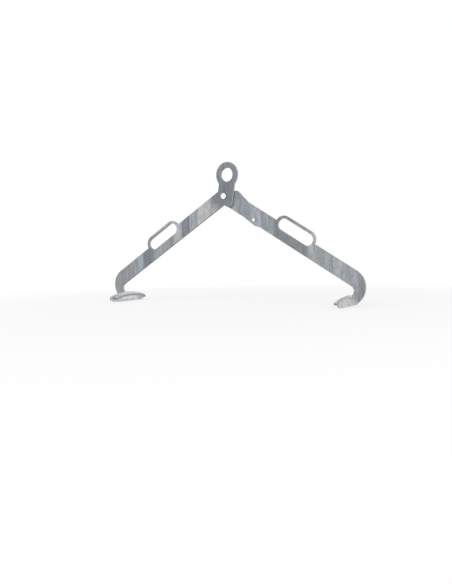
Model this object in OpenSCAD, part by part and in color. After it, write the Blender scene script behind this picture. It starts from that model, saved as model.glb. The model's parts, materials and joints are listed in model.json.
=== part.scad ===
// Scissor drum clamp: two bent plate arms on one pivot, with a rim jaw at each end.
// It lifts a drum that lies on its side. X runs along the drum, Y across it, Z up.
// The clamp stands on the bottom edges of its jaws at z = 0, with the pivot above x = y = 0.
// At rest the jaws are as far apart as the drum is long.

/* [Drum] */
// Length of the drum over its two end rims
drum_len = 880; // [700:5:950]
// Outer diameter of the drum's rims
drum_dia = 585; // [560:1:620]
// Radial depth of a rim, from its outer edge to the inside of the curl
rim_depth = 8; // [6:0.5:12]

/* [Arms] */
// Height of the pivot above the top of the rims
pivot_rise = 327.5; // [315:0.5:345]
// Slope of each arm below the horizontal, in degrees
arm_slope = 31; // [29.5:0.25:32.5]
// Width of an arm
arm_w = 50; // [44:1:56]
// Thickness of both arm plates
plate_t = 8; // [6:0.5:12]
// Width of the leg below the elbow
leg_w = 33; // [28:1:42]
// Radius of the elbow's inner corner
elbow_inner_r = 17.5; // [10:0.5:24]
// Depth below the rim's top at which the leg's inner edge meets the jaw
leg_drop = 14; // [8:1:20]
// Radius of the right arm's round head about the pivot
head_r = 29; // [29:0.5:33]

/* [Hand slots] */
// Distance of a hand slot's middle from the pivot, along the arm
slot_dist = 290; // [220:5:400]
// Overall length of a hand slot
slot_len = 138; // [110:2:160]
// Width of a hand slot
slot_w = 40; // [30:1:44]
// Width of the bar round a hand slot
grip_w = 9; // [7:0.5:14]

/* [Lifting eye] */
// Diameter of the eye's hole
eye_bore = 46; // [30:1:56]
// Width of the ring round the hole
eye_wall = 18.5; // [14:0.5:24]
// Height of the hole's centre above the pivot
eye_rise = 70; // [62:1:90]
// Offset of the hole's centre from the pivot, towards the right arm
eye_offset = 14; // [8:0.5:20]
// Width of the neck
neck_w = 59.5; // [54:0.5:64]
// Offset of the neck's middle from the pivot at the pivot's height, towards the right arm
neck_offset = 5.5; // [4:0.5:9]
// Lean of the neck out of the upright towards the right arm, in degrees
neck_lean = 10.5; // [8:0.25:13]
// Radius of the blend between ring and neck, on the left arm's side
left_blend_r = 13; // [8:1:26]
// Radius of the blend between ring and neck, on the right arm's side
right_blend_r = 16; // [8:1:30]
// Radius of the corner at the lower end of the neck's right edge
hip_r = 12; // [8:1:18]
// Radius of the blend between neck and left arm
root_blend_r = 7; // [4:1:20]

/* [Right arm shoulder] */
// Distance of the shoulder's corner from the pivot, along the arm
shoulder_dist = 33.5; // [30:0.5:44]
// Height of the shoulder's corner above the arm's edge
shoulder_h = 14; // [8:0.5:18]
// Length of the shoulder's level top
shoulder_top = 32; // [24:1:40]
// Length of the taper from the shoulder down to the arm's edge
taper_len = 55; // [40:0.5:70]
// Radius of the shoulder's corner
shoulder_r = 7; // [3:0.5:12]

/* [Pivot] */
// Diameter of the pivot pin's shank
pin_d = 14; // [12:0.5:18]
// Diameter of the pivot pin's head
pin_head_d = 20; // [18:0.5:26]
// Thickness of the pivot pin's head
pin_head_t = 3.5; // [2.5:0.5:6]
// Length of the shank behind the end washer
pin_tail = 8; // [6.5:0.5:12]
// Outer diameter of both washers
washer_d = 30; // [26:0.5:40]
// Thickness of the spacer between the arms
spacer_t = 1; // [0.5:0.5:5]
// Thickness of the washer behind the right arm
end_washer_t = 2.5; // [1.5:0.5:5]
// Diameter of the split pin's wire
wire_d = 1.6; // [1.2:0.1:2]

/* [Stop] */
// Distance of the stop pin from the pivot, along the right arm
stop_dist = 138; // [110:1:170]
// Distance of the stop pin's centre below the arm's centre line
stop_drop = 14.5; // [8:0.5:18]
// Diameter of the stop pin
stop_d = 10.5; // [8:0.5:12]
// Depth by which the stop pin reaches into the plane of the left arm
stop_reach = 3.5; // [2:0.5:8]
// Height of the lug below the arm's edge
lug_h = 5; // [3:0.5:8]
// Radius of the lug's corner
lug_r = 12; // [9:0.5:16]
// Distance of the lug's corner from the stop pin, along the arm
lug_shift = 12.5; // [4:0.5:16]
// Length of the lug's side towards the pivot
lug_near = 53; // [42:1:70]
// Length of the lug's side towards the elbow
lug_far = 17; // [14:1:40]

/* [Jaws] */
// Width of a jaw across the drum
jaw_w = 190; // [150:2:230]
// Thickness of a jaw's face plate
face_t = 6; // [4:0.5:10]
// Distance from the rim's top down to the jaw's bottom edge
face_drop = 36.5; // [32:0.5:46]
// Amount by which the face plate's top edge stays below the rim's edge
face_lip = 1.5; // [0.5:0.5:4]
// Length of the level stretch of the face plate's bottom edge
face_flat_w = 120; // [60:2:150]
// Radius of the face plate's lower corners
face_corner_r = 80; // [40:2:120]
// Width of the foot across the drum
foot_w = 160; // [120:2:170]
// Reach of the foot under the rim
foot_reach = 17; // [12:0.5:22]
// Thickness of the foot
foot_t = 7; // [5:0.5:10]
// Leg length of the weld beads on the arms
arm_bead = 5; // [3:0.5:7]
// Leg length of the weld beads on the feet
foot_bead = 4; // [3:0.5:6]

/* [Clearances] */
// Gap between each jaw's face and the end of the drum
rim_gap = 1; // [0.5:0.5:3]
// Gap between a foot and the inside of the rim's curl
curl_gap = 0.5; // [0.25:0.25:2]
// Radial clearance of the arms and washers on the pivot pin
running_gap = 0.05; // [0.02:0.01:0.1]
// Side play of the right arm between its washers
side_play = 0.2; // [0.1:0.05:0.5]
// Radial clearance of the stop pin in its lug
stop_gap = 0.02; // [0.01:0.01:0.05]
// Clearance of the split pin in its cross hole
cross_gap = 0.2; // [0.1:0.05:0.4]

/* [Hidden] */
$fn = 96;

// An overlap that a cutter needs past a face
eps = 1;
// Arm pieces are drawn this much past both faces, and trimmed to the plate in one cut
spare = 1;
cut = 2 * spare;
// Arcs that round a corner are larger by this much, so that they cross their sides cleanly
hair = 0.002;

// Heights over the surface that the jaws stand on
pivot_z = pivot_rise + face_drop;
drum_axis_z = face_drop - drum_dia / 2;

// Places along X, counted from the pivot
face_in_x = drum_len / 2 + rim_gap;
face_out_x = face_in_x + face_t;

// Places along Y: the left arm lies in front and the right arm behind it
arm_gap = spacer_t + side_play;
left_front_y = -arm_gap / 2 - plate_t;
left_back_y = -arm_gap / 2;
right_front_y = arm_gap / 2;
right_back_y = arm_gap / 2 + plate_t;
washer_back_y = right_back_y + side_play + end_washer_t;
tail_y = washer_back_y + pin_tail;

// The arm's own frame: s runs along the arm from the pivot, n runs square to it, outwards
half_w = arm_w / 2;
leg_in_s = face_out_x * cos(arm_slope) + (pivot_rise + leg_drop) * sin(arm_slope);
inner_c = [leg_in_s - elbow_inner_r, -half_w - elbow_inner_r];
// The outer edge of elbow and leg is one arc. It touches the arm's outer edge and the line of
// the leg's width, and ends on the jaw's face, close above the jaw's bottom edge.
toe_h = 1;
toe = in_arm(face_out_x, toe_h - pivot_z);
to_toe = toe - [leg_in_s + leg_w, half_w];
elbow_r = sqrt(2 * to_toe[0] * to_toe[1]) * -1 - to_toe[0] - to_toe[1];
elbow_c = [leg_in_s + leg_w - elbow_r, half_w - elbow_r];
stop_c = [stop_dist, -stop_drop];

// Radii about the drum's axis
face_top_r = drum_dia / 2 - face_lip;
foot_out_r = drum_dia / 2 - rim_depth - curl_gap;
foot_in_r = foot_out_r - foot_t;

// The directions of the right arm and of the neck, and the neck's sideways one
right_way = [cos(arm_slope), -sin(arm_slope)];
neck_up = [sin(neck_lean), cos(neck_lean)];
neck_side = [cos(neck_lean), -sin(neck_lean)];
neck_foot = [neck_offset, 0];
eye_c = [eye_offset, eye_rise];
// The eye's centre in the neck's own frame, which starts at the foot
eye_spot = [(eye_c - neck_foot) * neck_side, (eye_c - neck_foot) * neck_up];
eye_r = eye_bore / 2;
ring_r = eye_r + eye_wall;
pin_r = pin_d / 2;
stop_r = stop_d / 2;
cross_y = washer_back_y + pin_tail / 2;
cross_r = wire_d + cross_gap;

// A place beside or below the pivot, given in the right arm's frame
function in_arm(x, z) =
  [x * cos(arm_slope) - z * sin(arm_slope), x * sin(arm_slope) + z * cos(arm_slope)];

// The touching point of a tangent from p to a circle; side 1 is left of the way to it, -1 right
function tangent_point(p, c, r, side) =
  let (d = norm(c - p), a = atan2(p[1] - c[1], p[0] - c[0]) + side * acos(r / d))
  c + r * [cos(a), sin(a)];

// The unit vector from a to b
function way(a, b) = (b - a) / norm(b - a);

// The crossing of the line through a along u with the line through b along v
function crossing(a, u, b, v) = a + u * cross(b - a, v) / cross(u, v);

// Puts what it gets at the pivot
module at_pivot() {
  translate([0, 0, pivot_z])
    children();
}

// Stands a plate up that lies flat, so that its underside becomes its back, at back_y
module stand(back_y) {
  translate([0, back_y, 0])
    rotate([90, 0, 0])
      children();
}

// A round bar along Y between two places
module bar_y(r, front_y, back_y) {
  translate([0, back_y, 0])
    rotate([90, 0, 0])
      cylinder(r = r, h = back_y - front_y);
}

// The next four draw the flat pieces of the arms; a cutter's past is larger than the spare
module disc(middle, r, past = spare) {
  translate([middle[0], middle[1], -past])
    cylinder(r = r, h = plate_t + 2 * past);
}

module strip(corner, size, past = spare) {
  translate([corner[0], corner[1], -past])
    cube([size[0], size[1], plate_t + 2 * past]);
}

module sheet(points) {
  translate([0, 0, -spare])
    linear_extrude(plate_t + 2 * spare)
      polygon(points);
}

// Trims what it gets to the thickness of the plate
module plate() {
  reach = drum_len;
  intersection() {
    children();
    translate([-reach, -reach, 0])
      cube([2 * reach, 2 * reach, plate_t]);
  }
}

module round_strip(middle, len, w, past = spare) {
  strip(middle - [len - w, w] / 2, [len - w, w], past);
  for (side = [-1, 1])
    disc(middle + [side * (len - w) / 2, 0], w / 2, past);
}

// An arm without its head: bar, elbow, leg and the loop of the hand slot, along X
module arm() {
  slot_c = [slot_dist, half_w];
  reach = 2 * elbow_r;
  difference() {
    union() {
      strip([0, -half_w], [elbow_c[0], arm_w]);
      disc(elbow_c, elbow_r);
      round_strip(slot_c, slot_len + 2 * grip_w, slot_w + 2 * grip_w);
    }
    round_strip(slot_c, slot_len, slot_w, cut);
    // The open side of the elbow, with its round inner corner
    strip([inner_c[0] - reach, -half_w - reach], [reach, reach], cut);
    strip([leg_in_s - reach, inner_c[1] - reach], [reach, reach], cut);
    disc(inner_c, elbow_inner_r, cut);
    // The leg's end is cut along the jaw's face, so that it butts on it
    rotate(arm_slope)
      strip([face_out_x - reach, eps - pivot_rise - leg_drop - reach], [reach, reach], cut);
  }
}

// The ring of the lifting eye, with the blends to the neck below it
module eye() {
  disc(eye_c, ring_r);
  translate(neck_foot)
    rotate(-neck_lean) {
      ring_blend(-1, left_blend_r);
      ring_blend(1, right_blend_r);
    }
}

// The blend between the ring and one edge of the neck; side 1 is towards the right arm
module ring_blend(side, r) {
  middle_x = side * (neck_w / 2 + r);
  middle_z = eye_spot[1] - sqrt(pow(ring_r + r, 2) - pow(middle_x - eye_spot[0], 2));
  difference() {
    sheet([[eye_spot[0], middle_z], eye_spot, [middle_x, middle_z]]);
    disc([middle_x, middle_z], r + hair, cut);
  }
}

// The neck: its right edge runs down past the pivot, to the line of the right arm's lower edge,
// and the corner there is rounded
module neck() {
  side = neck_w / 2 * neck_side;
  top = eye_spot[1] * neck_up;
  below = half_w * [right_way[1], -right_way[0]];
  corner = crossing(neck_foot + side, neck_up, below, right_way);
  half = acos(-neck_up * right_way) / 2;
  middle = corner + way([0, 0], neck_up - right_way) * hip_r / sin(half);
  sheet([neck_foot - side, below, corner - right_way * hip_r / tan(half), middle,
    corner + neck_up * hip_r / tan(half), neck_foot + side + top, neck_foot - side + top]);
  disc(middle, hip_r + hair);
}

// The blend in the corner between the neck's left edge and the left arm's outer edge
module root_blend() {
  down = [-cos(arm_slope), -sin(arm_slope)];
  neck_edge = neck_foot - neck_w / 2 * neck_side;
  arm_edge = half_w * [down[1], -down[0]];
  corner = crossing(neck_edge, neck_up, arm_edge, down);
  half = acos(neck_up * down) / 2;
  middle = corner + way([0, 0], neck_up + down) * root_blend_r / sin(half);
  difference() {
    sheet([corner + neck_up * root_blend_r / tan(half), middle,
      corner + down * root_blend_r / tan(half), [0, 0]]);
    disc(middle, root_blend_r + hair, cut);
  }
}

// The right arm's shoulder: a level top beside the neck, then a taper down to the arm's edge
module shoulder() {
  corner = [shoulder_dist, half_w + shoulder_h];
  start = corner - shoulder_top * [cos(arm_slope), sin(arm_slope)];
  end = [shoulder_dist + taper_len, half_w];
  back = way(corner, start);
  on = way(corner, end);
  half = acos(back * on) / 2;
  middle = corner + way([0, 0], back + on) * shoulder_r / sin(half);
  sheet([start, corner + back * shoulder_r / tan(half), middle,
    corner + on * shoulder_r / tan(half), end, [end[0], 0], [0, 0]]);
  disc(middle, shoulder_r + hair);
}

// The lug under the stop pin: a round corner, with tangent sides up to the arm's inner edge
module lug() {
  lug_c = [stop_dist + lug_shift, lug_r - lug_h - half_w];
  near = [lug_c[0] - lug_near, -half_w];
  far = [lug_c[0] + lug_far, -half_w];
  disc(lug_c, lug_r);
  sheet([near, tangent_point(near, lug_c, lug_r, 1), tangent_point(far, lug_c, lug_r, -1),
    far, [far[0], 0], [near[0], 0]]);
}

module left_arm() {
  color([0.62, 0.64, 0.66])
    at_pivot()
      stand(left_back_y)
        plate()
          difference() {
            union() {
              mirror([1, 0, 0])
                rotate(-arm_slope)
                  arm();
              eye();
              neck();
              root_blend();
            }
            disc([0, 0], pin_r + running_gap, cut);
            disc(eye_c, eye_r, cut);
          }
}

module right_arm() {
  color([0.66, 0.67, 0.69])
    at_pivot()
      stand(right_back_y)
        plate()
          difference() {
            union() {
              rotate(-arm_slope) {
                arm();
                shoulder();
                lug();
              }
              disc([0, 0], head_r);
            }
            disc([0, 0], pin_r + running_gap, cut);
            rotate(-arm_slope)
              disc(stop_c, stop_r + stop_gap, cut);
          }
}

// A jaw's face plate: its top edge follows the rim, its lower corners are rounded
module jaw_face() {
  translate([face_in_x, 0, 0])
    rotate([90, 0, 90])
      linear_extrude(face_t)
        intersection() {
          translate([0, drum_axis_z])
            circle(face_top_r);
          translate([-jaw_w / 2, 0])
            square([jaw_w, face_drop]);
          union() {
            translate([-face_flat_w / 2, 0])
              square([face_flat_w, face_drop]);
            for (side = [-1, 1])
              translate([side * face_flat_w / 2, face_corner_r])
                circle(face_corner_r);
          }
        }
}

module left_jaw_face() {
  color([0.74, 0.75, 0.76])
    mirror([1, 0, 0])
      jaw_face();
}

module right_jaw_face() {
  color([0.74, 0.75, 0.76])
    jaw_face();
}

// A round bar along X about the drum's axis
module about_drum(r, from_x, to_x) {
  translate([from_x, 0, drum_axis_z])
    rotate([0, 90, 0])
      cylinder(r = r, h = to_x - from_x, $fn = 360);
}

// A jaw's foot: a curved strip that lies under the inside of the rim
module jaw_foot() {
  from_x = face_in_x - foot_reach;
  intersection() {
    difference() {
      about_drum(foot_out_r, from_x, face_in_x);
      about_drum(foot_in_r, from_x - eps, face_in_x + eps);
    }
    translate([from_x - eps, -foot_w / 2, 0])
      cube([foot_reach + 2 * eps, foot_w, drum_dia / 2]);
  }
}

module left_jaw_foot() {
  color([0.70, 0.71, 0.72])
    mirror([1, 0, 0])
      jaw_foot();
}

module right_jaw_foot() {
  color([0.70, 0.71, 0.72])
    jaw_foot();
}

// The beads in the corners between an arm's two sides and the jaw's outer face
module arm_weld(front_y, back_y) {
  bead_h = face_drop - leg_drop - toe_h;
  for (side = [[front_y, -1], [back_y, 1]])
    intersection() {
      translate([face_out_x, side[0], toe_h])
        cylinder(r = arm_bead, h = bead_h);
      translate([face_out_x, side[0] + min(side[1], 0) * 2 * arm_bead, 0])
        cube([2 * arm_bead, 2 * arm_bead, pivot_z]);
    }
}

module left_arm_weld() {
  color([0.56, 0.57, 0.58])
    mirror([1, 0, 0])
      arm_weld(left_front_y, left_back_y);
}

module right_arm_weld() {
  color([0.56, 0.57, 0.58])
    arm_weld(right_front_y, right_back_y);
}

// The bead in the corner between the foot's underside and the jaw's inner face
module foot_weld() {
  bead_w = foot_w - 4 * foot_bead;
  intersection() {
    translate([face_in_x, 0, drum_axis_z])
      rotate([0, 90, 0])
        rotate_extrude($fn = 360)
          translate([foot_in_r, 0])
            circle(foot_bead, $fn = 48);
    about_drum(foot_in_r, face_in_x - 2 * foot_bead, face_in_x);
    translate([face_in_x - 2 * foot_bead, -bead_w / 2, 0])
      cube([2 * foot_bead, bead_w, drum_dia / 2]);
  }
}

module left_foot_weld() {
  color([0.56, 0.57, 0.58])
    mirror([1, 0, 0])
      foot_weld();
}

module right_foot_weld() {
  color([0.56, 0.57, 0.58])
    foot_weld();
}

// The pivot pin: a head in front, a shank through both arms and a cross hole near its end
module pivot_pin() {
  edge = 1;
  color([0.86, 0.87, 0.88])
    at_pivot()
      difference() {
        union() {
          bar_y(pin_r, left_front_y, tail_y - edge);
          bar_y(pin_head_d / 2, left_front_y - pin_head_t + edge, left_front_y);
          translate([0, left_front_y - pin_head_t + edge, 0])
            rotate([90, 0, 0])
              cylinder(r1 = pin_head_d / 2, r2 = pin_head_d / 2 - edge, h = edge);
          translate([0, tail_y - edge, 0])
            rotate([-90, 0, 0])
              cylinder(r1 = pin_r, r2 = pin_r - edge, h = edge);
        }
        translate([0, cross_y, -pin_d])
          cylinder(r = cross_r, h = 2 * pin_d, $fn = 48);
      }
}

module washer(front_y, t) {
  difference() {
    bar_y(washer_d / 2, front_y, front_y + t);
    bar_y(pin_r + running_gap, front_y - eps, front_y + t + eps);
  }
}

module spacer_washer() {
  color([0.72, 0.73, 0.74])
    at_pivot()
      washer(left_back_y, spacer_t);
}

module end_washer() {
  color([0.72, 0.73, 0.74])
    at_pivot()
      washer(right_back_y + side_play, end_washer_t);
}

// The split pin: an eye on top, two legs through the cross hole, and tips bent apart below
module split_pin() {
  wire_r = wire_d / 2;
  bend_r = 1.5 * wire_d;
  eye_in_r = 1.5 * wire_d;
  leg_gap = 0.04;
  eye_z = pin_r + eye_in_r + wire_r;
  bend_z = -pin_r - wire_r;
  tip_len = pin_r - bend_r;
  leg_x = wire_r + leg_gap / 2;
  color([0.80, 0.80, 0.78])
    at_pivot()
      translate([0, cross_y, 0]) {
        for (side = [0, 1])
          mirror([side, 0, 0]) {
            translate([leg_x, 0, bend_z])
              cylinder(r = wire_r, h = eye_z - eye_in_r - bend_z + wire_r, $fn = 32);
            translate([leg_x + bend_r, 0, bend_z])
              rotate([90, 0, 0])
                rotate([0, 0, 180])
                  rotate_extrude(angle = 90, $fn = 48)
                    translate([bend_r, 0])
                      circle(wire_r, $fn = 32);
            translate([leg_x + bend_r, 0, bend_z - bend_r])
              rotate([0, 90, 0])
                cylinder(r = wire_r, h = tip_len, $fn = 32);
          }
        translate([0, 0, eye_z + wire_r])
          rotate([90, 0, 0])
            rotate_extrude($fn = 48)
              translate([eye_in_r, 0])
                circle(wire_r, $fn = 32);
      }
}

// The stop pin stands out of its lug into the plane of the left arm
module stop_pin() {
  edge = 0.8;
  front_y = left_back_y - stop_reach;
  spot = [stop_c[0] * cos(arm_slope) + stop_c[1] * sin(arm_slope),
    stop_c[1] * cos(arm_slope) - stop_c[0] * sin(arm_slope)];
  color([0.86, 0.87, 0.88])
    at_pivot()
      translate([spot[0], 0, spot[1]]) {
        bar_y(stop_r, front_y + edge, right_back_y);
        translate([0, front_y + edge, 0])
          rotate([90, 0, 0])
            cylinder(r1 = stop_r, r2 = stop_r - edge, h = edge);
      }
}

left_arm();
right_arm();
left_jaw_face();
right_jaw_face();
left_jaw_foot();
right_jaw_foot();
left_arm_weld();
right_arm_weld();
left_foot_weld();
right_foot_weld();
pivot_pin();
spacer_washer();
end_washer();
split_pin();
stop_pin();
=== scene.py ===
# Scissor drum clamp: zinc-coated plate arms, rubbed jaws, rippled welds and turned pins
import bmesh
import bpy
import json
import math
from mathutils import Matrix, Vector


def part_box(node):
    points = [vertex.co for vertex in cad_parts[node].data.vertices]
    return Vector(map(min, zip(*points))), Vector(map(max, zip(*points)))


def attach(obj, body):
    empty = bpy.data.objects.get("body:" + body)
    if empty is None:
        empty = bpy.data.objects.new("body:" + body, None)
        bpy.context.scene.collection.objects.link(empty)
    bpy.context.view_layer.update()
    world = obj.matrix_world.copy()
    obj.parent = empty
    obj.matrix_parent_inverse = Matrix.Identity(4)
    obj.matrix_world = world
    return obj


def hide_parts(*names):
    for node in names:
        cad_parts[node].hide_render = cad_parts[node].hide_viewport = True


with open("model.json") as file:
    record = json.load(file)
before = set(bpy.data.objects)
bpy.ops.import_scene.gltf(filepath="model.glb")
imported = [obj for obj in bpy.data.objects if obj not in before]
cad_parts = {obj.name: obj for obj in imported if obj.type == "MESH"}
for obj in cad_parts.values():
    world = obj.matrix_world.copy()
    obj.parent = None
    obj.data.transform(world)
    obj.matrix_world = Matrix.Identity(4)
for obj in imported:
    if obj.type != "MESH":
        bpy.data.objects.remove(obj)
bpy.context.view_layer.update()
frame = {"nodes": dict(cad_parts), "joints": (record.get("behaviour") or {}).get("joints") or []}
cadNodes = frame["nodes"]
pivotPlace = Vector(frame["joints"][0]["pos_m"])
print("stage: packed parts loaded,", len(cadNodes), "nodes")

# Camera: stands low on the right of the clamp and looks a little down
lookout = {
    "place": (1.0528, -1.7064, 0.1583),
    "yaw": 0.471,
    "pitch": -0.124,
    "roll": -0.0145,
    "focalPixels": 576.2,
    "axisPixel": (275.0, 328.45),
    "imageSize": (452, 584),
    "sensorWidth": 36.0,
    "clipStart": 0.05,
}


def setCamera(values):
    ahead = Vector((-math.sin(values["yaw"]), math.cos(values["yaw"]), 0))
    right = Vector((math.cos(values["yaw"]), math.sin(values["yaw"]), 0))
    up = Vector((0, 0, 1))
    pitchCos, pitchSin = math.cos(values["pitch"]), math.sin(values["pitch"])
    ahead, up = pitchCos * ahead + pitchSin * up, pitchCos * up - pitchSin * ahead
    rollCos, rollSin = math.cos(values["roll"]), math.sin(values["roll"])
    right, up = rollCos * right + rollSin * up, rollCos * up - rollSin * right
    data = bpy.data.cameras.new("lookout")
    wide, high = values["imageSize"]
    side = max(wide, high)
    data.sensor_width = values["sensorWidth"]
    data.lens = values["focalPixels"] / side * values["sensorWidth"]
    data.shift_x = (wide / 2 - values["axisPixel"][0]) / side
    data.shift_y = (values["axisPixel"][1] - high / 2) / side
    data.clip_start = values["clipStart"]
    camera = bpy.data.objects.new("lookout", data)
    bpy.context.scene.collection.objects.link(camera)
    turn = Matrix((right, up, -ahead)).transposed().to_4x4()
    camera.matrix_world = Matrix.Translation(values["place"]) @ turn
    bpy.context.scene.camera = camera


setCamera(lookout)
print("stage: camera set")


# Short ways to build shader nodes: a socket is linked, anything else is set
def plug(tree, value, socket):
    if isinstance(value, bpy.types.NodeSocket):
        tree.links.new(value, socket)
    else:
        socket.default_value = value


def addNode(tree, kind, inputs=None, **settings):
    made = tree.nodes.new(kind)
    for name, value in settings.items():
        setattr(made, name, value)
    for name, value in (inputs or {}).items():
        plug(tree, value, made.inputs[name])
    return made


def maths(tree, operation, a, b=0.0, c=0.0):
    return addNode(tree, "ShaderNodeMath", {0: a, 1: b, 2: c}, operation=operation).outputs[0]


def remap(tree, value, low, high, toLow=0.0, toHigh=1.0):
    inputs = {"Value": value, "From Min": low, "From Max": high, "To Min": toLow, "To Max": toHigh}
    return addNode(tree, "ShaderNodeMapRange", inputs, interpolation_type="SMOOTHSTEP").outputs[0]


def mixColours(tree, share, first, second, blend="MIX"):
    made = addNode(tree, "ShaderNodeMix", data_type="RGBA", blend_type=blend)
    for socket, value in zip((0, 6, 7), (share, first, second)):
        plug(tree, value, made.inputs[socket])
    return made.outputs[2]


# Lays a tone over a colour where the mask is 1, at the given share
def layOver(tree, colour, mask, share, tone):
    return mixColours(tree, maths(tree, "MULTIPLY", mask, share), colour, tone)


def noise(tree, place, scale, detail=2.0, roughness=0.5, seed=0.0):
    inputs = {"Vector": place, "W": seed, "Scale": scale, "Detail": detail, "Roughness": roughness}
    return addNode(tree, "ShaderNodeTexNoise", inputs, noise_dimensions="4D").outputs["Fac"]


# A small wander to either side, half its reach each way
def wander(tree, place, scale, reach):
    return maths(tree, "MULTIPLY_ADD", noise(tree, place, scale, detail=3.0), reach, -reach / 2)


def vectorMaths(tree, operation, a, b=(0, 0, 0)):
    made = addNode(tree, "ShaderNodeVectorMath", {0: a, 1: b}, operation=operation)
    return made.outputs["Value" if operation in ("LENGTH", "DOT_PRODUCT") else "Vector"]


def splitVector(tree, vector):
    return addNode(tree, "ShaderNodeSeparateXYZ", {0: vector}).outputs


def joinVector(tree, x, y, z):
    return addNode(tree, "ShaderNodeCombineXYZ", {"X": x, "Y": y, "Z": z}).outputs[0]


def objectPlace(tree):
    return addNode(tree, "ShaderNodeTexCoord").outputs["Object"]


def grey(level, warm=0.0):
    return (level * (1 + warm), level, level * (1 - warm), 1)


white = (1, 1, 1, 1)
socketKinds = {"value": "NodeSocketFloat", "vector": "NodeSocketVector", "colour": "NodeSocketColor"}


def startGroup(name, inputs, outputs):
    tree = bpy.data.node_groups.new(name, "ShaderNodeTree")
    for label, (kind, default) in inputs.items():
        socket = tree.interface.new_socket(label, in_out="INPUT", socket_type=socketKinds[kind])
        if default is not None:
            socket.default_value = default
    for label, kind in outputs.items():
        tree.interface.new_socket(label, in_out="OUTPUT", socket_type=socketKinds[kind])
    return tree, tree.nodes.new("NodeGroupInput").outputs, tree.nodes.new("NodeGroupOutput").inputs


def placeGroup(tree, group, **inputs):
    made = tree.nodes.new("ShaderNodeGroup")
    made.node_tree = group
    for name, value in inputs.items():
        plug(tree, value, made.inputs[name])
    return made.outputs


# Upright bands of uneven width and fine upright lines, as the zinc bath and rolling leave on a sheet
bandShape = {
    "swayScale": 22.0,
    "swayReach": 0.010,
    "lean": 0.05,
    "heightShare": 0.06,
    "wideRoughness": 0.6,
    "fineRoughness": 0.65,
    "wideFade": (0.34, 0.66),
    "fineFade": (0.3, 0.7),
    "cellSizes": ((1.0, 0.0), (3.3, 4.7)),  # how much finer than the wide bands, and how far along
    "cellShares": (0.65, 0.35),
    "cellBlur": 0.12,
    "coolTint": (0.905, 1.00, 1.055, 1),
    "blueTint": (0.945, 0.99, 1.095, 1),
    "blueFade": (0.25, 0.75),
    "plainTint": (0.99, 0.99, 1.03, 1),
    "plainFade": (0.7, 0.95),
}


def makeBandGroup(values):
    inputs = {"Place": ("vector", None), "Wide": ("value", 30.0), "Fine": ("value", 300.0),
              "Seed": ("value", 0.0)}
    outputs = {"Bands": "value", "Steps": "value", "Lines": "value", "Tint": "colour"}
    tree, given, out = startGroup("uprightBands", inputs, outputs)
    parts = splitVector(tree, given["Place"])
    sway = wander(tree, given["Place"], values["swayScale"], values["swayReach"])
    along = maths(tree, "ADD", parts["X"], sway)
    along = maths(tree, "MULTIPLY_ADD", parts["Z"], values["lean"], along)
    low = maths(tree, "MULTIPLY", parts["Z"], values["heightShare"])
    across = joinVector(tree, along, parts["Y"], low)
    wide = noise(tree, across, given["Wide"], 3.0, values["wideRoughness"], given["Seed"])
    fine = noise(tree, across, given["Fine"], 3.0, values["fineRoughness"], given["Seed"])
    # Bands with a clear border: one-dimensional cells, each with its own tone and tint
    cells = []
    for spread, offset in values["cellSizes"]:
        spot = maths(tree, "ADD", along, maths(tree, "ADD", given["Seed"], offset))
        scale = maths(tree, "MULTIPLY", given["Wide"], spread)
        inputs = {"W": spot, "Scale": scale, "Smoothness": values["cellBlur"]}
        cell = addNode(tree, "ShaderNodeTexVoronoi", inputs, voronoi_dimensions="1D",
                       feature="SMOOTH_F1")
        cells.append(addNode(tree, "ShaderNodeSeparateColor", {0: cell.outputs["Color"]}).outputs)
    broadShare, narrowShare = values["cellShares"]
    steps = maths(tree, "MULTIPLY", cells[0][0], broadShare)
    steps = maths(tree, "MULTIPLY_ADD", cells[1][0], narrowShare, steps)
    blueness = remap(tree, cells[0][1], *values["blueFade"])
    tint = mixColours(tree, blueness, values["coolTint"], values["blueTint"])
    tint = mixColours(tree, remap(tree, cells[1][2], *values["plainFade"]), tint, values["plainTint"])
    tree.links.new(remap(tree, wide, *values["wideFade"]), out["Bands"])
    tree.links.new(steps, out["Steps"])
    tree.links.new(remap(tree, fine, *values["fineFade"]), out["Lines"])
    tree.links.new(tint, out["Tint"])
    return tree


# One band across an arm, with a straight or a soft border
beltShape = {"swayScale": 45.0, "swayReach": 0.006}


def makeBeltGroup(values):
    inputs = {"Place": ("vector", None), "Middle": ("value", 0.0), "Half": ("value", 0.02),
              "Soft": ("value", 0.004)}
    tree, given, out = startGroup("uprightBelt", inputs, {"Belt": "value"})
    parts = splitVector(tree, given["Place"])
    sway = wander(tree, given["Place"], values["swayScale"], values["swayReach"])
    gap = maths(tree, "SUBTRACT", maths(tree, "ADD", parts["X"], sway), given["Middle"])
    reach = maths(tree, "SUBTRACT", maths(tree, "ABSOLUTE", gap), given["Half"])
    tree.links.new(remap(tree, reach, given["Soft"], 0.0), out["Belt"])
    return tree


# Zinc crystals: flat cells of slightly different brightness, each with fine needles that point
# its own way
crystalShape = {
    "bendScale": 0.7,
    "bendReach": 0.35,
    "turn": 6.28,
    "needleScale": 2.2,
    "needleWarp": 2.0,
}


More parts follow.
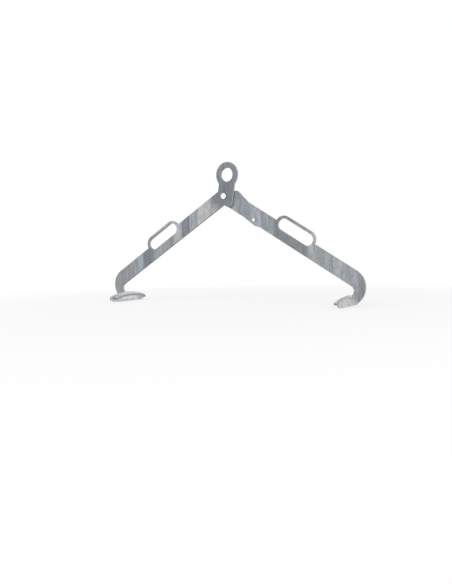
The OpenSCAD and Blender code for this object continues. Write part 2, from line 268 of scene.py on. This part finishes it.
def makeSpangleGroup(values):
    inputs = {"Place": ("vector", None), "Size": ("value", 110.0)}
    tree, given, out = startGroup("zincSpangle", inputs, {"Cells": "value", "Fern": "value"})
    bendScale = maths(tree, "MULTIPLY", given["Size"], values["bendScale"])
    inputs = {"Vector": given["Place"], "Scale": bendScale, "Detail": 2.0}
    bend = addNode(tree, "ShaderNodeTexNoise", inputs)
    shift = vectorMaths(tree, "SUBTRACT", bend.outputs["Color"], (0.5, 0.5, 0.5))
    reach = maths(tree, "DIVIDE", values["bendReach"], given["Size"])
    scaled = addNode(tree, "ShaderNodeVectorMath", {0: shift, "Scale": reach}, operation="SCALE")
    moved = vectorMaths(tree, "ADD", given["Place"], scaled.outputs[0])
    cells = addNode(tree, "ShaderNodeTexVoronoi", {"Vector": moved, "Scale": given["Size"]})
    tone = addNode(tree, "ShaderNodeSeparateColor", {0: cells.outputs["Color"]}).outputs
    turned = addNode(tree, "ShaderNodeVectorRotate", {
        "Vector": given["Place"], "Axis": (0, 1, 0),
        "Angle": maths(tree, "MULTIPLY", tone[1], values["turn"])})
    needles = addNode(tree, "ShaderNodeTexWave", {
        "Vector": turned.outputs[0],
        "Scale": maths(tree, "MULTIPLY", given["Size"], values["needleScale"]),
        "Distortion": values["needleWarp"], "Detail": 2.0})
    tree.links.new(tone[0], out["Cells"])
    tree.links.new(needles.outputs["Fac"], out["Fern"])
    return tree


# Masks of the cut sides and rounded edges of a plate whose two large faces look along Axis, by which way
# they face; the finishes lay painted light and shade on them.
# Each pair says where its mask begins and where it is full.
sideLimits = {
    "edgeRises": (0.08, 0.35),
    "edgeFalls": (0.97, 0.8),
    "side": (0.55, 0.25),
    "under": (-0.1, -0.7),
    "upright": (0.5, 0.95),
}


def makeSideGroup(limits):
    inputs = {"Axis": ("vector", (0, 1, 0))}
    outputs = {"Side": "value", "Edge": "value", "Under": "value", "Upright": "value"}
    tree, given, out = startGroup("plateSides", inputs, outputs)
    local = addNode(tree, "ShaderNodeTexCoord").outputs["Normal"]
    flat = maths(tree, "ABSOLUTE", vectorMaths(tree, "DOT_PRODUCT", local, given["Axis"]))
    rising = remap(tree, flat, *limits["edgeRises"])
    falling = remap(tree, flat, *limits["edgeFalls"])
    parts = splitVector(tree, local)
    sideways = maths(tree, "ABSOLUTE", parts["X"])
    tree.links.new(remap(tree, flat, *limits["side"]), out["Side"])
    tree.links.new(maths(tree, "MULTIPLY", rising, falling), out["Edge"])
    tree.links.new(remap(tree, parts["Z"], *limits["under"]), out["Under"])
    tree.links.new(remap(tree, sideways, *limits["upright"]), out["Upright"])
    return tree


# A soft round patch about a point, ragged at its border; it lays darker tones and painted light alike
stainAndLightShape = {
    "squeeze": (1, 0.3, 1),
    "raggedScale": 60.0,
    "raggedDepth": 0.9,
    "raggedBase": 0.55,
    "fade": (1.15, 0.35),
}


def makeStainAndLightGroup(values):
    inputs = {"Place": ("vector", None), "Centre": ("vector", None), "Radius": ("value", 0.05)}
    tree, given, out = startGroup("roundStainAndLight", inputs, {"StainAndLight": "value"})
    gap = vectorMaths(tree, "SUBTRACT", given["Place"], given["Centre"])
    far = vectorMaths(tree, "LENGTH", vectorMaths(tree, "MULTIPLY", gap, values["squeeze"]))
    ragged = noise(tree, given["Place"], values["raggedScale"], detail=4.0)
    ragged = maths(tree, "MULTIPLY_ADD", ragged, values["raggedDepth"], values["raggedBase"])
    ratio = maths(tree, "DIVIDE", far, maths(tree, "MULTIPLY", given["Radius"], ragged))
    tree.links.new(remap(tree, ratio, *values["fade"]), out["StainAndLight"])
    return tree


# Short straight scratches in two directions
scratchShape = {
    "angles": (0.4, -0.9),
    "tilt": (0.2, 0.1),
    "stretch": (22, 1.2, 0.9),
    "fade": (0.67, 0.74),
}


def makeScratchGroup(values):
    inputs = {"Place": ("vector", None), "Scale": ("value", 40.0), "Amount": ("value", 0.5)}
    tree, given, out = startGroup("lightScratches", inputs, {"Scratches": "value"})
    tiltX, tiltZ = values["tilt"]
    lines = []
    for angle in values["angles"]:
        turned = addNode(tree, "ShaderNodeMapping", {
            "Vector": given["Place"], "Rotation": (tiltX, angle, tiltZ), "Scale": values["stretch"]})
        lines.append(remap(tree, noise(tree, turned.outputs[0], given["Scale"], 1.0), *values["fade"]))
    found = maths(tree, "MAXIMUM", lines[0], lines[1])
    tree.links.new(maths(tree, "MULTIPLY", found, given["Amount"]), out["Scratches"])
    return tree


bandGroup = makeBandGroup(bandShape)
beltGroup = makeBeltGroup(beltShape)
spangleGroup = makeSpangleGroup(crystalShape)
sideGroup = makeSideGroup(sideLimits)
stainAndLightGroup = makeStainAndLightGroup(stainAndLightShape)
scratchGroup = makeScratchGroup(scratchShape)


def startMaterial(name):
    made = bpy.data.materials.new(name)
    made.use_nodes = True
    tree = made.node_tree
    tree.nodes.clear()
    shader = tree.nodes.new("ShaderNodeBsdfPrincipled")
    out = tree.nodes.new("ShaderNodeOutputMaterial")
    tree.links.new(shader.outputs[0], out.inputs["Surface"])
    return made, tree, shader


def finishShader(tree, shader, colour, roughness, height, bumpDistance, metallic):
    bump = addNode(tree, "ShaderNodeBump", {
        "Height": height, "Strength": 0.5, "Distance": bumpDistance})
    tree.links.new(colour, shader.inputs["Base Color"])
    tree.links.new(roughness, shader.inputs["Roughness"])
    tree.links.new(bump.outputs[0], shader.inputs["Normal"])
    plug(tree, metallic, shader.inputs["Metallic"])


# Two tones in bands, tinted by the bands' own tint
def layBands(tree, bands, stepShare, dark, light, tintShare):
    tone = maths(tree, "MULTIPLY", bands["Bands"], 1 - stepShare)
    tone = maths(tree, "MULTIPLY_ADD", bands["Steps"], stepShare, tone)
    colour = mixColours(tree, tone, dark, light)
    return mixColours(tree, tintShare, colour, bands["Tint"], blend="MULTIPLY")


def layStainAndLight(tree, place, colour, stainAndLight):
    mask = placeGroup(tree, stainAndLightGroup, Place=place, Centre=stainAndLight["centre"], Radius=stainAndLight["radius"])
    return layOver(tree, colour, mask["StainAndLight"], stainAndLight["share"], stainAndLight["colour"])


# The same patch on the left (-1) or the right (1) half
def onSide(stainAndLight, side):
    x, y, z = stainAndLight["centre"]
    return {**stainAndLight, "centre": (side * x, y, z)}


# Zinc-coated plate. The two arms come from different sheets, so their bands differ.
# A belt is one band at a known place: its middle and half width along X, its border and its tone.
leftArmLooks = {
    "side": -1, "dark": 0.245, "light": 0.45, "wide": 26.0, "fine": 300.0, "seed": 3.0,
    "stepShare": 0.55, "lineShare": 0.34, "pivotRadius": 0.056, "neckShare": 0.8,
    "gripShadingTones": (0.27, 0.43),
    "belts": [
        {"middle": -0.430, "half": 0.050, "soft": 0.020, "share": 0.65, "colour": (0.315, 0.335, 0.360)},
        {"middle": -0.367, "half": 0.010, "soft": 0.004, "share": 0.80, "colour": (0.385, 0.425, 0.470)},
        {"middle": -0.329, "half": 0.023, "soft": 0.008, "share": 0.80, "colour": (0.210, 0.232, 0.252)},
        {"middle": -0.302, "half": 0.005, "soft": 0.006, "share": 0.70, "colour": (0.290, 0.310, 0.335)},
        {"middle": -0.268, "half": 0.016, "soft": 0.010, "share": 0.65, "colour": (0.375, 0.395, 0.420)},
        {"middle": -0.199, "half": 0.010, "soft": 0.008, "share": 0.80, "colour": (0.475, 0.480, 0.490)},
        {"middle": -0.160, "half": 0.015, "soft": 0.004, "share": 0.85, "colour": (0.232, 0.262, 0.289)},
        {"middle": -0.148, "half": 0.003, "soft": 0.002, "share": 0.80, "colour": (0.185, 0.210, 0.240)},
        {"middle": -0.126, "half": 0.012, "soft": 0.004, "share": 0.60, "colour": (0.330, 0.355, 0.385)},
        {"middle": -0.108, "half": 0.001, "soft": 0.002, "share": 0.60, "colour": (0.230, 0.240, 0.250)},
        {"middle": -0.082, "half": 0.021, "soft": 0.010, "share": 0.90, "colour": (0.515, 0.505, 0.515)},
    ],
}
rightArmLooks = {
    "side": 1, "dark": 0.260, "light": 0.430, "wide": 38.0, "fine": 380.0, "seed": 9.5,
    "stepShare": 0.42, "lineShare": 0.50, "pivotRadius": 0.030, "neckShare": 0.1,
    "gripShadingTones": (0.265, 0.41),
    "belts": [
        # The first belt is painted light: it lightens the shade beside the neck's edge on the shoulder
        {"middle": 0.036, "half": 0.010, "soft": 0.010, "share": 0.80, "colour": (0.420, 0.440, 0.470)},
        {"middle": 0.064, "half": 0.015, "soft": 0.012, "share": 0.70, "colour": (0.300, 0.325, 0.358)},
        {"middle": 0.085, "half": 0.006, "soft": 0.008, "share": 0.50, "colour": (0.270, 0.290, 0.320)},
        {"middle": 0.126, "half": 0.010, "soft": 0.006, "share": 0.80, "colour": (0.395, 0.405, 0.455)},
        {"middle": 0.148, "half": 0.007, "soft": 0.004, "share": 0.70, "colour": (0.270, 0.300, 0.318)},
        {"middle": 0.246, "half": 0.051, "soft": 0.016, "share": 0.85, "colour": (0.222, 0.243, 0.260)},
        {"middle": 0.405, "half": 0.010, "soft": 0.008, "share": 0.80, "colour": (0.400, 0.425, 0.455)},
        {"middle": 0.450, "half": 0.018, "soft": 0.014, "share": 0.70, "colour": (0.370, 0.388, 0.410)},
    ],
}
# Both arms are darker about the pivot and on the neck; the leg's end gets painted light, lifting the
# shade beside the jaw
neckDarkTone = {"centre": (0.010, 0, 0.415), "radius": 0.105, "colour": (0.189, 0.209, 0.229, 1)}
pivotDarkTone = {"centre": tuple(pivotPlace), "share": 0.8, "colour": neckDarkTone["colour"]}
legEndPaintedLight = {"centre": (0.447, 0, 0.004), "radius": 0.029, "share": 0.9, "colour": (0.80, 0.76, 0.76, 1)}
# The grip bar lies beyond the hand slot: its distances are measured square to the arm. Its tone is
# painted shade, lighter towards +X as painted light from the right
gripBar = {
    "slope": math.radians(31),
    "inner": 0.030,
    "outer": 0.044,
    "reach": (0.21, 0.36),
    "fade": 0.03,
    "share": 0.8,
    "warmth": (-0.02, -0.01),
}
plateCoat = {
    "tintShare": 1.0,
    "cloudStretch": (1, 1, 0.45),
    "cloudScale": 90.0,
    "cloudRoughness": 0.6,
    "cloudTones": (0.60, 0.68),  # how strong the clouds are, and their darkest tone
    "crystalTones": (0.12, 0.94),  # the same for the crystals
    "scratchAmount": 0.6,
    "scratchShare": 0.4,
    "scratchTone": 0.55,
    # Cut faces are toned by which way they face: painted shade darkens the cut sides, most of all
    # underneath; painted light brightens the sideways faces; rounded edges are lighter as wear and
    # painted highlight
    "paintedCutShading": {  # share and grey level on each kind of cut face
        "Side": (0.6, 0.26), "Under": (0.6, 0.13), "Upright": (0.85, 0.55), "Edge": (0.30, 0.46),
    },
    "cutWarmth": -0.03,
    "roughness": 0.40,
    "lineRoughness": 0.10,
    "crystalRoughness": 0.12,
    "fernHeight": 0.25,
    "lineHeight": 0.5,
    "bump": 0.0002,
    "metallic": 0.85,
    "uprightLoss": 0.65,
}


# The grip bar is painted darker as shade, and lighter towards +X on both arms as painted light from the
# right
def layGripShading(tree, place, colour, looks):
    parts = splitVector(tree, place)
    rise = maths(tree, "SUBTRACT", parts["Z"], pivotPlace.z)
    run = maths(tree, "MULTIPLY", parts["X"], looks["side"] * math.sin(gripBar["slope"]))
    outward = maths(tree, "MULTIPLY_ADD", rise, math.cos(gripBar["slope"]), run)
    near, far = gripBar["reach"]
    mask = remap(tree, outward, gripBar["inner"], gripBar["outer"])
    beyond = remap(tree, maths(tree, "ABSOLUTE", parts["X"]), near - gripBar["fade"], near)
    mask = maths(tree, "MULTIPLY", mask, beyond)
    ends = sorted((looks["side"] * near, looks["side"] * far))
    low, high = (grey(*pair) for pair in zip(looks["gripShadingTones"], gripBar["warmth"]))
    tone = mixColours(tree, remap(tree, parts["X"], *ends), low, high)
    return layOver(tree, colour, mask, gripBar["share"], tone)


def makePlateMaterial(name, looks, coat):
    made, tree, shader = startMaterial(name)
    place = objectPlace(tree)
    bands = placeGroup(tree, bandGroup, Place=place, Wide=looks["wide"], Fine=looks["fine"],
                       Seed=looks["seed"])
    spangle = placeGroup(tree, spangleGroup, Place=place)
    sides = placeGroup(tree, sideGroup)
    scratches = placeGroup(tree, scratchGroup, Place=place, Amount=coat["scratchAmount"])
    colour = layBands(tree, bands, looks["stepShare"], grey(looks["dark"]), grey(looks["light"]),
                      coat["tintShare"])
    for belt in looks["belts"]:
        mask = placeGroup(tree, beltGroup, Place=place, Middle=belt["middle"], Half=belt["half"],
                          Soft=belt["soft"])["Belt"]
        colour = layOver(tree, colour, mask, belt["share"], (*belt["colour"], 1))
    colour = layStainAndLight(tree, place, colour, {**pivotDarkTone, "radius": looks["pivotRadius"]})
    colour = layStainAndLight(tree, place, colour, {**neckDarkTone, "share": looks["neckShare"]})
    # Painted light at the leg's end, lifting the shade beside the jaw
    colour = layStainAndLight(tree, place, colour, onSide(legEndPaintedLight, looks["side"]))
    # Painted shade on the grip bar, lighter towards +X as painted light
    colour = layGripShading(tree, place, colour, looks)
    # Fine lines, clouds and crystals over everything
    grain = maths(tree, "MULTIPLY_ADD", bands["Lines"], looks["lineShare"], 1 - looks["lineShare"] / 2)
    stretched = vectorMaths(tree, "MULTIPLY", place, coat["cloudStretch"])
    cloud = noise(tree, stretched, coat["cloudScale"], 4.0, coat["cloudRoughness"], looks["seed"])
    for mask, tones in ((cloud, "cloudTones"), (spangle["Cells"], "crystalTones")):
        grain = maths(tree, "MULTIPLY", grain, maths(tree, "MULTIPLY_ADD", mask, *coat[tones]))
    colour = mixColours(tree, 1.0, colour, grain, blend="MULTIPLY")
    colour = layOver(tree, colour, scratches["Scratches"], coat["scratchShare"],
                     grey(coat["scratchTone"]))
    # Painted light and shade on the cut faces, by which way they face
    for kind, (share, level) in coat["paintedCutShading"].items():
        colour = layOver(tree, colour, sides[kind], share, grey(level, coat["cutWarmth"]))
    rough = maths(tree, "MULTIPLY_ADD", bands["Lines"], coat["lineRoughness"], coat["roughness"])
    rough = maths(tree, "MULTIPLY_ADD", spangle["Cells"], coat["crystalRoughness"], rough)
    height = maths(tree, "MULTIPLY", spangle["Fern"], coat["fernHeight"])
    height = maths(tree, "MULTIPLY_ADD", bands["Lines"], coat["lineHeight"], height)
    metallic = maths(tree, "MULTIPLY_ADD", sides["Upright"], -coat["uprightLoss"], coat["metallic"])
    finishShader(tree, shader, colour, rough, height, coat["bump"], metallic)
    return made


# Jaws: brighter than the arms, partly as painted light from the right, and wiped upright by the rims
# they slide over
jawLooks = {
    "face": {"axis": (1, 0, 0), "dark": 0.40, "light": 0.76},
    "foot": {"axis": (0, 0, 1), "dark": 0.40, "light": 0.74},
    "darkWarmth": -0.02,
    "wide": 70.0,
    "fine": 420.0,
    "seed": 5.0,
    "stepShare": 0.6,
    "tintShare": 0.9,
    "lineTones": (0.3, 0.85),  # how strong the fine lines are, and their darkest tone
    "crystalSize": 140.0,
    # Painted light about the welds, lifting the shade in the corner of leg and jaw
    "weldPaintedLight": {"centre": (0.447, 0, 0.020), "radius": 0.023, "share": 0.85,
                  "colour": (0.86, 0.83, 0.84, 1)},
    "scratchAmount": 0.8,
    "scratchShare": 0.5,
    "scratchTone": 0.85,
    # Painted shade darkens the cut sides; rounded edges are lighter as wear and painted highlight
    "paintedCutShading": {"Side": (0.8, 0.26), "Edge": (0.5, 0.7)},  # share and grey level
    "roughness": 0.34,
    "lineRoughness": 0.14,
    "fernHeight": 0.2,
    "lineHeight": 0.6,
    "bump": 0.0002,
    "metallic": 0.7,
}


def makeJawMaterial(name, plate, looks):
    made, tree, shader = startMaterial(name)
    place = objectPlace(tree)
    # A jaw lies across the drum, so its bands follow Y instead of X
    parts = splitVector(tree, place)
    turned = joinVector(tree, parts["Y"], parts["X"], parts["Z"])
    bands = placeGroup(tree, bandGroup, Place=turned, Wide=looks["wide"], Fine=looks["fine"],
                       Seed=looks["seed"])
    spangle = placeGroup(tree, spangleGroup, Place=place, Size=looks["crystalSize"])
    sides = placeGroup(tree, sideGroup, Axis=plate["axis"])
    scratches = placeGroup(tree, scratchGroup, Place=turned, Amount=looks["scratchAmount"])
    colour = layBands(tree, bands, looks["stepShare"], grey(plate["dark"], looks["darkWarmth"]),
                      grey(plate["light"]), looks["tintShare"])
    # Painted light about each weld
    for side in (-1, 1):
        colour = layStainAndLight(tree, place, colour, onSide(looks["weldPaintedLight"], side))
    grain = maths(tree, "MULTIPLY_ADD", bands["Lines"], *looks["lineTones"])
    colour = mixColours(tree, 1.0, colour, grain, blend="MULTIPLY")
    colour = layOver(tree, colour, scratches["Scratches"], looks["scratchShare"],
                     grey(looks["scratchTone"]))
    # Painted shade on the cut sides and light on the rounded edges
    for kind, (share, level) in looks["paintedCutShading"].items():
        colour = layOver(tree, colour, sides[kind], share, grey(level))
    rough = maths(tree, "MULTIPLY_ADD", bands["Lines"], looks["lineRoughness"], looks["roughness"])
    height = maths(tree, "MULTIPLY", spangle["Fern"], looks["fernHeight"])
    height = maths(tree, "MULTIPLY_ADD", bands["Lines"], looks["lineHeight"], height)
    finishShader(tree, shader, colour, rough, height, looks["bump"], looks["metallic"])
    return made


# Cloudy finishes: weld metal, and the plated washers and wire.
# Roughness is how much it varies with the clouds, and its lowest value.
weldLooks = {
    "dark": grey(0.58, 0.01), "light": grey(0.78), "cloudScale": 160.0, "pitScale": 900.0,
    "cloudFade": (0.3, 0.7), "roughness": (0.2, 0.36), "bump": 0.0003, "metallic": 0.7,
}
platedLooks = {
    "washerLevel": 0.6, "wireLevel": 0.7, "darkShare": 0.7, "darkWarmth": -0.04, "lightWarmth": 0.02,
    "cloudScale": 240.0, "cloudFade": (0.3, 0.7), "roughness": (0.2, 0.28), "bump": 0.0001,
    "metallic": 1.0,
}


def makeWeldMaterial(looks):
    made, tree, shader = startMaterial("zincCoatedWeld")
    place = objectPlace(tree)
    tone = remap(tree, noise(tree, place, looks["cloudScale"], detail=5.0), *looks["cloudFade"])
    colour = mixColours(tree, tone, looks["dark"], looks["light"])
    pitted = noise(tree, place, looks["pitScale"], detail=3.0)
    rough = maths(tree, "MULTIPLY_ADD", tone, *looks["roughness"])
    finishShader(tree, shader, colour, rough, pitted, looks["bump"], looks["metallic"])
    return made


def makePlatedMaterial(name, level, looks):
    made, tree, shader = startMaterial(name)
    cloud = noise(tree, objectPlace(tree), looks["cloudScale"], detail=5.0)
    tone = remap(tree, cloud, *looks["cloudFade"])
    dark = grey(level * looks["darkShare"], looks["darkWarmth"])
    colour = mixColours(tree, tone, dark, grey(level, looks["lightWarmth"]))
    rough = maths(tree, "MULTIPLY_ADD", tone, *looks["roughness"])
    finishShader(tree, shader, colour, rough, cloud, looks["bump"], looks["metallic"])
    return made


# Turned steel about an axis along Y through centre, with rings from the tool
turnedLooks = {
    "level": 0.98, "darkShare": 0.95, "ringPitch": 0.0006, "cloudScale": 180.0,
    "cloudFade": (0.35, 0.7), "roughness": (0.1, 0.24), "bump": 0.00002, "metallic": 0.9,
}


def makeTurnedMaterial(name, centre, looks):
    made, tree, shader = startMaterial(name)
    place = objectPlace(tree)
    gap = vectorMaths(tree, "SUBTRACT", place, centre)
    far = vectorMaths(tree, "LENGTH", vectorMaths(tree, "MULTIPLY", gap, (1, 0, 1)))
    rings = maths(tree, "SINE", maths(tree, "MULTIPLY", far, 2 * math.pi / looks["ringPitch"]))
    tone = remap(tree, noise(tree, place, looks["cloudScale"], detail=4.0), *looks["cloudFade"])
    dark = grey(looks["level"] * looks["darkShare"])
    colour = mixColours(tree, tone, dark, grey(looks["level"]))
    rough = maths(tree, "MULTIPLY_ADD", tone, *looks["roughness"])
    finishShader(tree, shader, colour, rough, rings, looks["bump"], looks["metallic"])
    return made


stopPlace = (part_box("stop_pin")[0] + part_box("stop_pin")[1]) / 2
finishes = {
    "left_arm": makePlateMaterial("zincPlateLeftArm", leftArmLooks, plateCoat),
    "right_arm": makePlateMaterial("zincPlateRightArm", rightArmLooks, plateCoat),
    "left_jaw_face": makeJawMaterial("wipedZincJawFace", jawLooks["face"], jawLooks),
    "left_jaw_foot": makeJawMaterial("wipedZincJawFoot", jawLooks["foot"], jawLooks),
    "pivot_pin": makeTurnedMaterial("turnedPivotPin", tuple(pivotPlace), turnedLooks),
    "stop_pin": makeTurnedMaterial("turnedStopPin", tuple(stopPlace), turnedLooks),
    "spacer_washer": makePlatedMaterial("platedWasher", platedLooks["washerLevel"], platedLooks),
    "split_pin": makePlatedMaterial("platedWire", platedLooks["wireLevel"], platedLooks),
}
finishes["right_jaw_face"] = finishes["left_jaw_face"]
finishes["right_jaw_foot"] = finishes["left_jaw_foot"]
finishes["end_washer"] = finishes["spacer_washer"]
weldFinish = makeWeldMaterial(weldLooks)
print("stage: finishes made,", len(bpy.data.materials), "materials")

# Deburred edges: the width of the round on each part, in metres
edgeRounds = {
    "left_arm": 0.0008, "right_arm": 0.0008,
    "left_jaw_face": 0.0008, "right_jaw_face": 0.0008,
    "left_jaw_foot": 0.0008, "right_jaw_foot": 0.0008,
    "pivot_pin": 0.0003, "stop_pin": 0.0002,
    "spacer_washer": 0.0003, "end_washer": 0.0003,
}
edgeMaking = {"joinWithin": 0.000005, "flatWithin": math.radians(0.3), "sharpFrom": math.radians(40)}


def dressNode(name):
    part = cadNodes[name]
    for holder in part.material_slots:
        holder.material = finishes[name]
    if name in edgeRounds:
        joinUp = part.modifiers.new("joinUp", "WELD")
        joinUp.merge_threshold = edgeMaking["joinWithin"]
        flatten = part.modifiers.new("flatten", "DECIMATE")
        flatten.decimate_type = "DISSOLVE"
        flatten.angle_limit = edgeMaking["flatWithin"]
        edge = part.modifiers.new("deburred", "BEVEL")
        edge.width = edgeRounds[name]
        edge.segments = 2
        edge.limit_method = "ANGLE"
        edge.angle_limit = edgeMaking["sharpFrom"]
        edge.harden_normals = True


for name in finishes:
    dressNode(name)
print("stage: parts dressed")

# Weld beads: overlapping ripples in the corner between two plates
bead = {
    "ripple": 0.0022,
    "rippleDepth": 0.16,
    "crestPower": 0.6,
    "bow": 0.0011,
    "hollow": 0.10,
    "shrink": 0.05,
    "uneven": ((0.03, 2.1, 0.0), (0.02, 0.77, 1.3)),  # depth, turns per ripple and start of each wave
    "ringsPerRipple": 8,
    "facesAcross": 10,
    "endSize": 0.35,
    "sharpFrom": math.radians(50),
    "footSeamRadius": 0.277,
}


# The seam gives the corner and the two ways out of it at a distance t along it
def growBead(shape, seam, length, leg):
    ringCount = round(length / bead["ripple"] * bead["ringsPerRipple"])
    across = bead["facesAcross"]
    rings = []
    for ringIndex in range(ringCount + 1):
        t = length * ringIndex / ringCount
        phase = t / bead["ripple"]
        fromEnd = min(1.0, min(t, length - t) / leg)
        roundedEnd = math.sqrt(1 - (1 - fromEnd) ** 2)
        taper = bead["endSize"] + (1 - bead["endSize"]) * roundedEnd
        crest = abs(math.sin(math.pi * phase)) ** bead["crestPower"]
        uneven = sum(depth * math.sin(phase * speed + start) for depth, speed, start in bead["uneven"])
        ringSize = taper * (1 - bead["rippleDepth"] * (1 - crest) - bead["shrink"] + uneven)
        ring = []
        for faceIndex in range(across + 1):
            angle = math.pi / 2 * faceIndex / across
            size = ringSize * (1 - bead["hollow"] * math.sin(2 * angle))
            shifted = min(length, t + bead["bow"] * math.sin(2 * angle) * roundedEnd)
            corner, firstWay, secondWay = seam(shifted)
            way = math.cos(angle) * firstWay + math.sin(angle) * secondWay
            ring.append(shape.verts.new(corner + leg * size * way))
        ring.append(shape.verts.new(seam(t)[0]))
        rings.append(ring)
    count = across + 2
    for ring, following in zip(rings, rings[1:]):
        for index in range(count):
            after = (index + 1) % count
            shape.faces.new((ring[index], ring[after], following[after], following[index]))
    shape.faces.new(rings[0])
    shape.faces.new(reversed(rings[-1]))


def finishBead(name, shape, node, body):
    bmesh.ops.recalc_face_normals(shape, faces=shape.faces)
    for face in shape.faces:
        face.smooth = True
    mesh = bpy.data.meshes.new(name)
    shape.to_mesh(mesh)
    shape.free()
    mesh.set_sharp_from_angle(angle=bead["sharpFrom"])
    mesh.materials.append(weldFinish)
    piece = bpy.data.objects.new(name, mesh)
    bpy.context.scene.collection.objects.link(piece)
    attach(piece, body)
    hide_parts(node)


# One upright bead on each side of the leg, against the outer face of the jaw
def makeArmBeads(side, body):
    jawLow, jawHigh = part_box(side + "_jaw_face")
    armLow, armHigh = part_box(side + "_arm")
    beadLow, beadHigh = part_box(side + "_arm_weld")
    outward = 1 if jawHigh.x > 0 else -1
    faceX = jawHigh.x if outward > 0 else jawLow.x
    leg = armLow.y - beadLow.y
    shape = bmesh.new()
    for armY, sideways in ((armLow.y, -1), (armHigh.y, 1)):
        def seam(t, armY=armY, sideways=sideways):
            corner = Vector((faceX, armY, beadLow.z + t))
            return corner, Vector((outward, 0, 0)), Vector((0, sideways, 0))
        growBead(shape, seam, beadHigh.z - beadLow.z, leg)
    finishBead(side + "ArmBeads", shape, side + "_arm_weld", body)


# A curved bead under the foot, against the inner face of the jaw
def makeFootBead(side, body):
    beadLow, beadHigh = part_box(side + "_foot_weld")
    inward = -1 if beadHigh.x > 0 else 1
    faceX = beadHigh.x if inward < 0 else beadLow.x
    radius = bead["footSeamRadius"]
    axisZ = beadHigh.z - radius
    halfTurn = math.asin(beadHigh.y / radius)

    def seam(t):
        turn = t / radius - halfTurn
        out = Vector((0, math.sin(turn), math.cos(turn)))
        return Vector((faceX, 0, axisZ)) + radius * out, Vector((inward, 0, 0)), -out

    shape = bmesh.new()
    growBead(shape, seam, 2 * halfTurn * radius, beadHigh.x - beadLow.x)
    finishBead(side + "FootBead", shape, side + "_foot_weld", body)


for side in ("left", "right"):
    makeArmBeads(side, side + "_half")
    makeFootBead(side, side + "_half")
print("stage: weld beads laid")

# Floor, background and light
studio = {
    "floorColour": (0.93, 0.93, 0.93, 1),
    "floorRoughness": 0.9,
    "floorSpecular": 0.1,
    "floorSize": 24.0,
    "shadowNear": 0.5,
    "shadowFar": 1.6,
    "whiteNear": 0.66,
    "worldStrength": 0.75,
}
lamps = {
    "keyLamp": {"place": (-1.4, -2.2, 2.6), "aim": (0, 0, 0.2), "size": 1.6, "energy": 22.0},
    "sideLamp": {"place": (2.6, -0.9, 0.9), "aim": (0.2, 0, 0.2), "size": 1.2, "energy": 9.0},
}


# 1 for what the camera sees directly, in a reflection or through glass
def seenRay(tree):
    ray = addNode(tree, "ShaderNodeLightPath").outputs
    seen = maths(tree, "MAXIMUM", ray["Is Camera Ray"], ray["Is Glossy Ray"])
    return maths(tree, "MAXIMUM", seen, ray["Is Transmission Ray"])


# The floor keeps the clamp's shadow close to it and fades to the white of the background
def makeFloor(values):
    shape = bpy.data.meshes.new("floor")
    half = values["floorSize"] / 2
    corners = [(-half, -half, 0), (half, -half, 0), (half, half, 0), (-half, half, 0)]
    shape.from_pydata(corners, [], [(0, 1, 2, 3)])
    floor = bpy.data.objects.new("floor", shape)
    bpy.context.scene.collection.objects.link(floor)
    made, tree, shader = startMaterial("paleFloor")
    shader.inputs["Base Color"].default_value = values["floorColour"]
    shader.inputs["Roughness"].default_value = values["floorRoughness"]
    shader.inputs["Specular IOR Level"].default_value = values["floorSpecular"]
    far = vectorMaths(tree, "LENGTH", objectPlace(tree))
    share = remap(tree, far, values["shadowNear"], values["shadowFar"], values["whiteNear"], 1.0)
    glow = addNode(tree, "ShaderNodeEmission", {"Color": white, "Strength": 1.0})
    mix = addNode(tree, "ShaderNodeMixShader", {0: maths(tree, "MULTIPLY", share, seenRay(tree))})
    tree.links.new(shader.outputs[0], mix.inputs[1])
    tree.links.new(glow.outputs[0], mix.inputs[2])
    tree.links.new(mix.outputs[0], tree.nodes["Material Output"].inputs["Surface"])
    floor.data.materials.append(made)


def makeWorld(values):
    world = bpy.data.worlds.new("studio")
    bpy.context.scene.world = world
    world.use_nodes = True
    tree = world.node_tree
    tree.nodes.clear()
    dim = values["worldStrength"]
    strength = maths(tree, "MULTIPLY_ADD", seenRay(tree), 1 - dim, dim)
    sky = addNode(tree, "ShaderNodeBackground", {"Color": white, "Strength": strength})
    out = addNode(tree, "ShaderNodeOutputWorld")
    tree.links.new(sky.outputs[0], out.inputs["Surface"])


def addSoftLamp(name, values):
    data = bpy.data.lights.new(name, "AREA")
    data.size = values["size"]
    data.energy = values["energy"]
    lamp = bpy.data.objects.new(name, data)
    bpy.context.scene.collection.objects.link(lamp)
    away = Vector(values["place"]) - Vector(values["aim"])
    turn = away.to_track_quat("Z", "Y").to_matrix().to_4x4()
    lamp.matrix_world = Matrix.Translation(values["place"]) @ turn


makeFloor(studio)
makeWorld(studio)
for lampName, lampValues in lamps.items():
    addSoftLamp(lampName, lampValues)
bpy.context.scene.view_settings.view_transform = "Standard"
print("stage: floor and light set")
